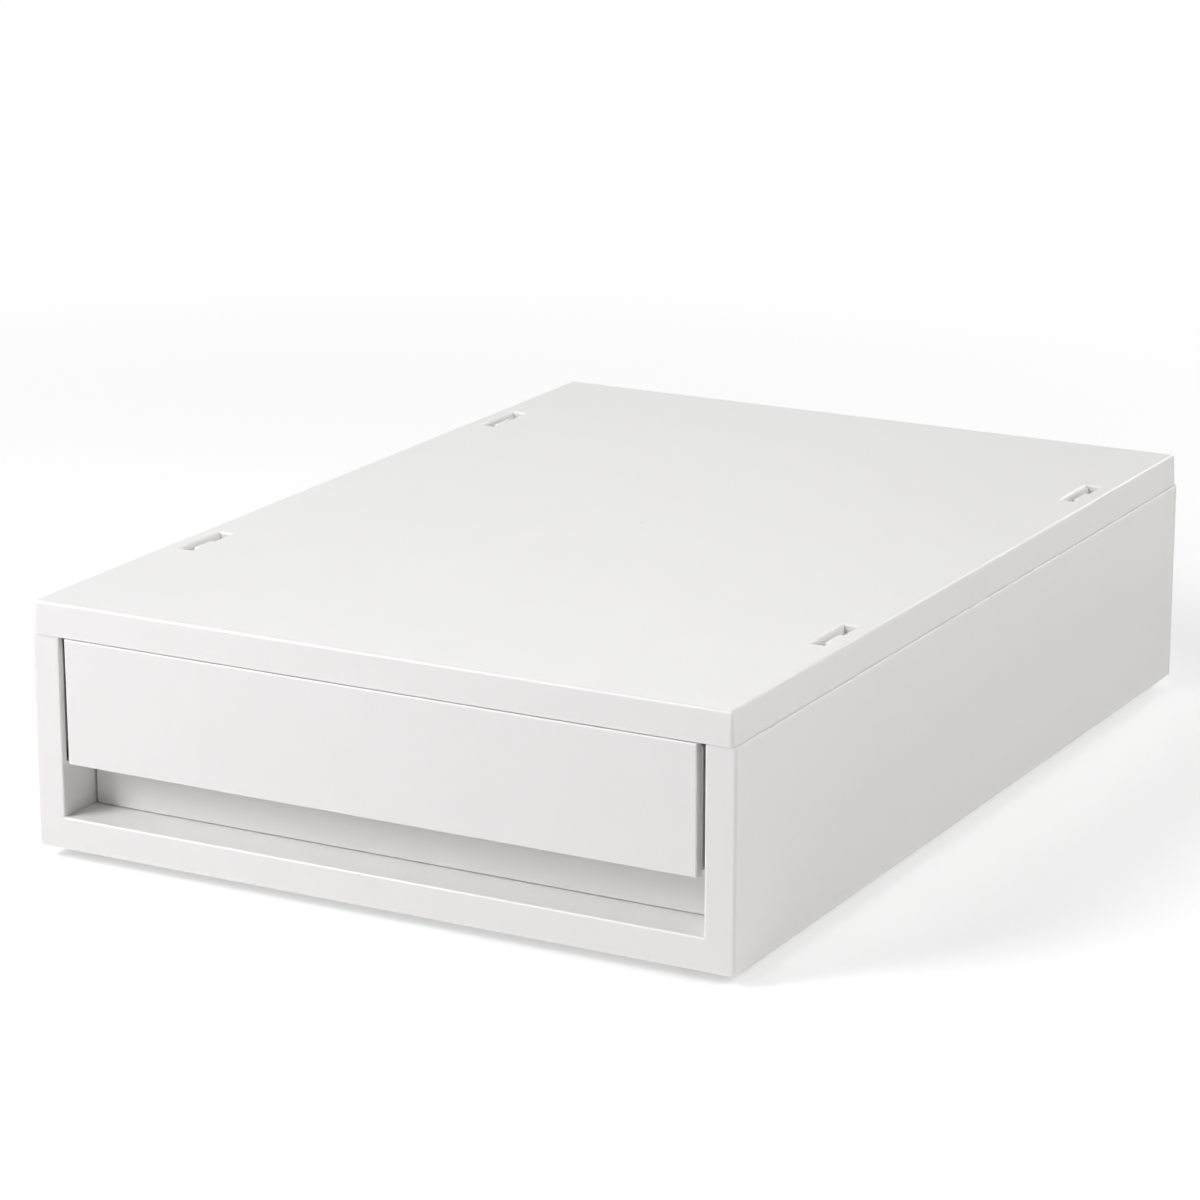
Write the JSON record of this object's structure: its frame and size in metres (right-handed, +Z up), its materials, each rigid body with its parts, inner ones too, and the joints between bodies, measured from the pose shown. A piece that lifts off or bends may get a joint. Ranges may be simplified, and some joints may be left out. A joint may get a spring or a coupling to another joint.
{
  "type": "drawer case",
  "caption": "Low white plastic stacking case with a sliding drawer, a finger gap under the drawer front, a separate top panel and slots for stacking.",
  "frame": {"origin": "under the middle of the case, on the plane that it stands on", "axes": "+Z up, +X to the right seen from the front, +Y from the front to the back along the depth"},
  "size_m": [0.26, 0.3662, 0.0895],
  "materials": {
    "body_plastic": "satin white moulded plastic with a fine texture",
    "top_plastic": "satin white moulded plastic with a fine texture",
    "drawer_plastic": "satin white moulded plastic with a fine texture"
  },
  "bodies": {
    "case": {"case_body": "body_plastic", "top_panel": "top_plastic"},
    "drawer": {"drawer_tray": "drawer_plastic", "drawer_front": "drawer_plastic"}
  },
  "joints": [
    {"name": "drawer_slide", "type": "slide", "parent": "case", "child": "drawer", "axis": [0, -1, 0], "range_m": [0, 0.28]}
  ]
}
